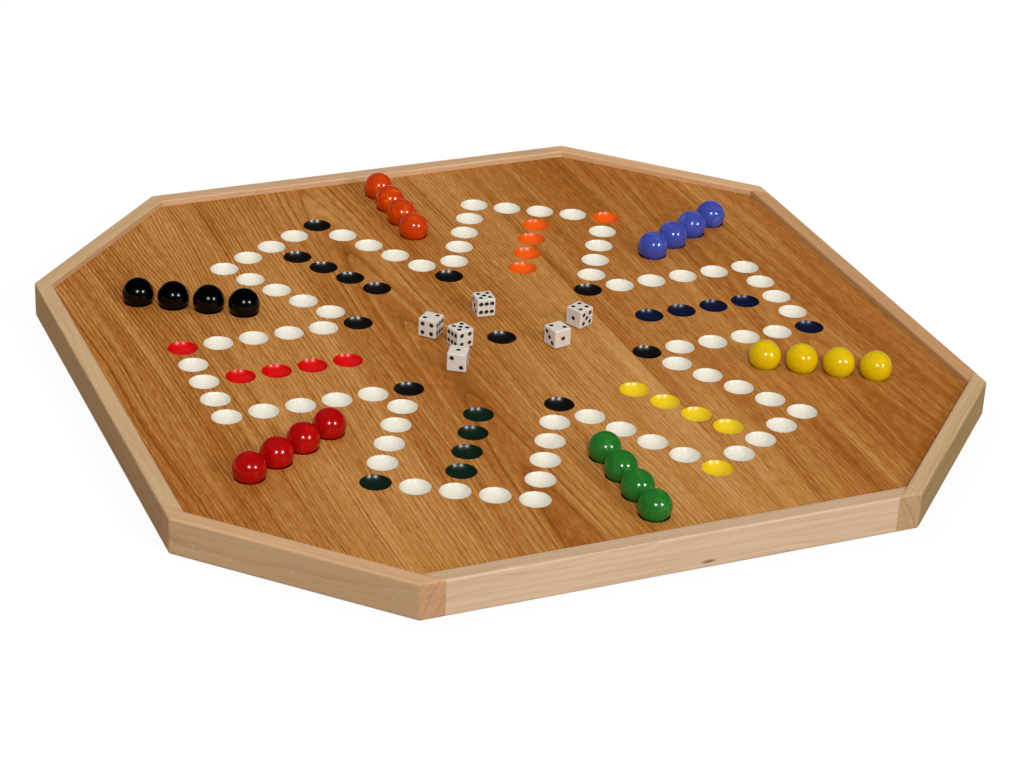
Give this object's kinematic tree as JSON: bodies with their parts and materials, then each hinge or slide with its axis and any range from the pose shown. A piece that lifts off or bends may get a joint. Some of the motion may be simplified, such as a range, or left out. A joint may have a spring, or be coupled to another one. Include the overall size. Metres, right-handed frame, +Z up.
{
  "type": "marble race game board",
  "caption": "Eight-sided wooden race game board in a raised rail frame, with dished holes that hold loose glass marbles and dice lying on its deck.",
  "frame": {"origin": "on the table, under the middle of the board", "axes": "+Z up out of the deck, +X along the blue player's arm, -Y towards the front long rail"},
  "size_m": [0.6354, 0.6354, 0.0423],
  "materials": {
    "oak": "satin clear coat",
    "maple": "satin clear coat",
    "brad_steel": "bright drawn wire",
    "dice_plastic": "polished",
    "glass_blue": "opaque polished glass",
    "glass_orange": "opaque polished glass",
    "glass_black": "opaque polished glass",
    "glass_red": "opaque polished glass",
    "glass_green": "opaque polished glass",
    "glass_yellow": "opaque polished glass"
  },
  "bodies": {
    "board": {"deck_panel": "oak", "long_rail_right": "maple", "long_rail_back": "maple", "long_rail_left": "maple", "long_rail_front": "maple", "short_rail_back_right": "maple", "short_rail_back_left": "maple", "short_rail_front_left": "maple", "short_rail_front_right": "maple", "brad_back_right_1": "brad_steel", "brad_back_right_2": "brad_steel", "brad_back_right_3": "brad_steel", "brad_back_left_1": "brad_steel", "brad_back_left_2": "brad_steel", "brad_back_left_3": "brad_steel", "brad_front_left_1": "brad_steel", "brad_front_left_2": "brad_steel", "brad_front_left_3": "brad_steel", "brad_front_right_1": "brad_steel", "brad_front_right_2": "brad_steel", "brad_front_right_3": "brad_steel"},
    "marble_blue_1": {"marble_blue_1": "glass_blue"},
    "marble_blue_2": {"marble_blue_2": "glass_blue"},
    "marble_blue_3": {"marble_blue_3": "glass_blue"},
    "marble_blue_4": {"marble_blue_4": "glass_blue"},
    "marble_orange_1": {"marble_orange_1": "glass_orange"},
    "marble_orange_2": {"marble_orange_2": "glass_orange"},
    "marble_orange_3": {"marble_orange_3": "glass_orange"},
    "marble_orange_4": {"marble_orange_4": "glass_orange"},
    "marble_black_1": {"marble_black_1": "glass_black"},
    "marble_black_2": {"marble_black_2": "glass_black"},
    "marble_black_3": {"marble_black_3": "glass_black"},
    "marble_black_4": {"marble_black_4": "glass_black"},
    "marble_red_1": {"marble_red_1": "glass_red"},
    "marble_red_2": {"marble_red_2": "glass_red"},
    "marble_red_3": {"marble_red_3": "glass_red"},
    "marble_red_4": {"marble_red_4": "glass_red"},
    "marble_green_1": {"marble_green_1": "glass_green"},
    "marble_green_2": {"marble_green_2": "glass_green"},
    "marble_green_3": {"marble_green_3": "glass_green"},
    "marble_green_4": {"marble_green_4": "glass_green"},
    "marble_yellow_1": {"marble_yellow_1": "glass_yellow"},
    "marble_yellow_2": {"marble_yellow_2": "glass_yellow"},
    "marble_yellow_3": {"marble_yellow_3": "glass_yellow"},
    "marble_yellow_4": {"marble_yellow_4": "glass_yellow"},
    "die_1": {"die_1": "dice_plastic"},
    "die_2": {"die_2": "dice_plastic"},
    "die_3": {"die_3": "dice_plastic"},
    "die_4": {"die_4": "dice_plastic"},
    "die_5": {"die_5": "dice_plastic"},
    "die_6": {"die_6": "dice_plastic"}
  },
  "joints": [
    {"name": "marble_blue_1_lift", "type": "slide", "parent": "board", "child": "marble_blue_1", "axis": [0, 0, 1], "range_m": [0, 0.06]},
    {"name": "marble_blue_2_lift", "type": "slide", "parent": "board", "child": "marble_blue_2", "axis": [0, 0, 1], "range_m": [0, 0.06]},
    {"name": "marble_blue_3_lift", "type": "slide", "parent": "board", "child": "marble_blue_3", "axis": [0, 0, 1], "range_m": [0, 0.06]},
    {"name": "marble_blue_4_lift", "type": "slide", "parent": "board", "child": "marble_blue_4", "axis": [0, 0, 1], "range_m": [0, 0.06]},
    {"name": "marble_orange_1_lift", "type": "slide", "parent": "board", "child": "marble_orange_1", "axis": [0, 0, 1], "range_m": [0, 0.06]},
    {"name": "marble_orange_2_lift", "type": "slide", "parent": "board", "child": "marble_orange_2", "axis": [0, 0, 1], "range_m": [0, 0.06]},
    {"name": "marble_orange_3_lift", "type": "slide", "parent": "board", "child": "marble_orange_3", "axis": [0, 0, 1], "range_m": [0, 0.06]},
    {"name": "marble_orange_4_lift", "type": "slide", "parent": "board", "child": "marble_orange_4", "axis": [0, 0, 1], "range_m": [0, 0.06]},
    {"name": "marble_black_1_lift", "type": "slide", "parent": "board", "child": "marble_black_1", "axis": [0, 0, 1], "range_m": [0, 0.06]},
    {"name": "marble_black_2_lift", "type": "slide", "parent": "board", "child": "marble_black_2", "axis": [0, 0, 1], "range_m": [0, 0.06]},
    {"name": "marble_black_3_lift", "type": "slide", "parent": "board", "child": "marble_black_3", "axis": [0, 0, 1], "range_m": [0, 0.06]},
    {"name": "marble_black_4_lift", "type": "slide", "parent": "board", "child": "marble_black_4", "axis": [0, 0, 1], "range_m": [0, 0.06]},
    {"name": "marble_red_1_lift", "type": "slide", "parent": "board", "child": "marble_red_1", "axis": [0, 0, 1], "range_m": [0, 0.06]},
    {"name": "marble_red_2_lift", "type": "slide", "parent": "board", "child": "marble_red_2", "axis": [0, 0, 1], "range_m": [0, 0.06]},
    {"name": "marble_red_3_lift", "type": "slide", "parent": "board", "child": "marble_red_3", "axis": [0, 0, 1], "range_m": [0, 0.06]},
    {"name": "marble_red_4_lift", "type": "slide", "parent": "board", "child": "marble_red_4", "axis": [0, 0, 1], "range_m": [0, 0.06]},
    {"name": "marble_green_1_lift", "type": "slide", "parent": "board", "child": "marble_green_1", "axis": [0, 0, 1], "range_m": [0, 0.06]},
    {"name": "marble_green_2_lift", "type": "slide", "parent": "board", "child": "marble_green_2", "axis": [0, 0, 1], "range_m": [0, 0.06]},
    {"name": "marble_green_3_lift", "type": "slide", "parent": "board", "child": "marble_green_3", "axis": [0, 0, 1], "range_m": [0, 0.06]},
    {"name": "marble_green_4_lift", "type": "slide", "parent": "board", "child": "marble_green_4", "axis": [0, 0, 1], "range_m": [0, 0.06]},
    {"name": "marble_yellow_1_lift", "type": "slide", "parent": "board", "child": "marble_yellow_1", "axis": [0, 0, 1], "range_m": [0, 0.06]},
    {"name": "marble_yellow_2_lift", "type": "slide", "parent": "board", "child": "marble_yellow_2", "axis": [0, 0, 1], "range_m": [0, 0.06]},
    {"name": "marble_yellow_3_lift", "type": "slide", "parent": "board", "child": "marble_yellow_3", "axis": [0, 0, 1], "range_m": [0, 0.06]},
    {"name": "marble_yellow_4_lift", "type": "slide", "parent": "board", "child": "marble_yellow_4", "axis": [0, 0, 1], "range_m": [0, 0.06]},
    {"name": "die_1_lift", "type": "slide", "parent": "board", "child": "die_1", "axis": [0, 0, 1], "range_m": [0, 0.06]},
    {"name": "die_2_lift", "type": "slide", "parent": "board", "child": "die_2", "axis": [0, 0, 1], "range_m": [0, 0.06]},
    {"name": "die_3_lift", "type": "slide", "parent": "board", "child": "die_3", "axis": [0, 0, 1], "range_m": [0, 0.06]},
    {"name": "die_4_lift", "type": "slide", "parent": "board", "child": "die_4", "axis": [0, 0, 1], "range_m": [0, 0.06]},
    {"name": "die_5_lift", "type": "slide", "parent": "board", "child": "die_5", "axis": [0, 0, 1], "range_m": [0, 0.06]},
    {"name": "die_6_lift", "type": "slide", "parent": "board", "child": "die_6", "axis": [0, 0, 1], "range_m": [0, 0.06]}
  ]
}
